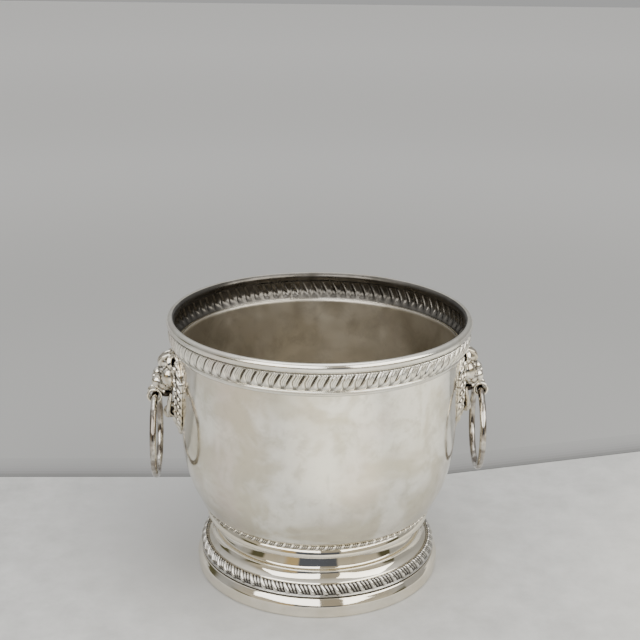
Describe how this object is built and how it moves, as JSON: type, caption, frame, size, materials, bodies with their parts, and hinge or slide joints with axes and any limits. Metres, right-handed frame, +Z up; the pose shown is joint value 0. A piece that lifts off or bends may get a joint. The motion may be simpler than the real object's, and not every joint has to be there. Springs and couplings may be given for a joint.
{
  "type": "champagne bucket",
  "caption": "Round footed champagne bucket with a gadrooned rim and foot, lion masks and loose ring handles.",
  "frame": {"origin": "centre of the foot's resting ring, on the surface that it stands on", "axes": "+Z up through the middle of the bowl, X through the two ring handles"},
  "size_m": [0.2112, 0.1854, 0.1648],
  "materials": {
    "bowl_silver": "satin silver plate with a light haze of tarnish",
    "rim_silver": "silver plate, polished lip and softer stamped band",
    "rope_silver": "polished silver plate with dark recesses",
    "foot_silver": "bright polished silver plate",
    "foot_border_silver": "polished silver plate with dark recesses",
    "skirt_silver": "bright polished silver plate",
    "mask_silver": "polished cast silver plate with warm tarnish in the recesses",
    "lug_silver": "polished silver plate",
    "ring_silver": "polished silver plate worn to a warm tone"
  },
  "bodies": {
    "bucket": {"bowl": "bowl_silver", "rim_border": "rim_silver", "neck_rope": "rope_silver", "foot_pedestal": "foot_silver", "foot_border": "foot_border_silver", "foot_skirt": "skirt_silver", "lion_mask_left": "mask_silver", "lion_mask_right": "mask_silver", "ring_lug_left": "lug_silver", "ring_lug_right": "lug_silver"},
    "left_ring": {"ring_handle_left": "ring_silver"},
    "right_ring": {"ring_handle_right": "ring_silver"}
  },
  "joints": [
    {"name": "left_ring_swing", "type": "hinge", "parent": "bucket", "child": "left_ring", "pos_m": [-0.101, 0, 0.1145], "axis": [0, 1, 0], "range_deg": [-18, 185]},
    {"name": "right_ring_swing", "type": "hinge", "parent": "bucket", "child": "right_ring", "pos_m": [0.101, 0, 0.1145], "axis": [0, -1, 0], "range_deg": [-18, 185]}
  ]
}
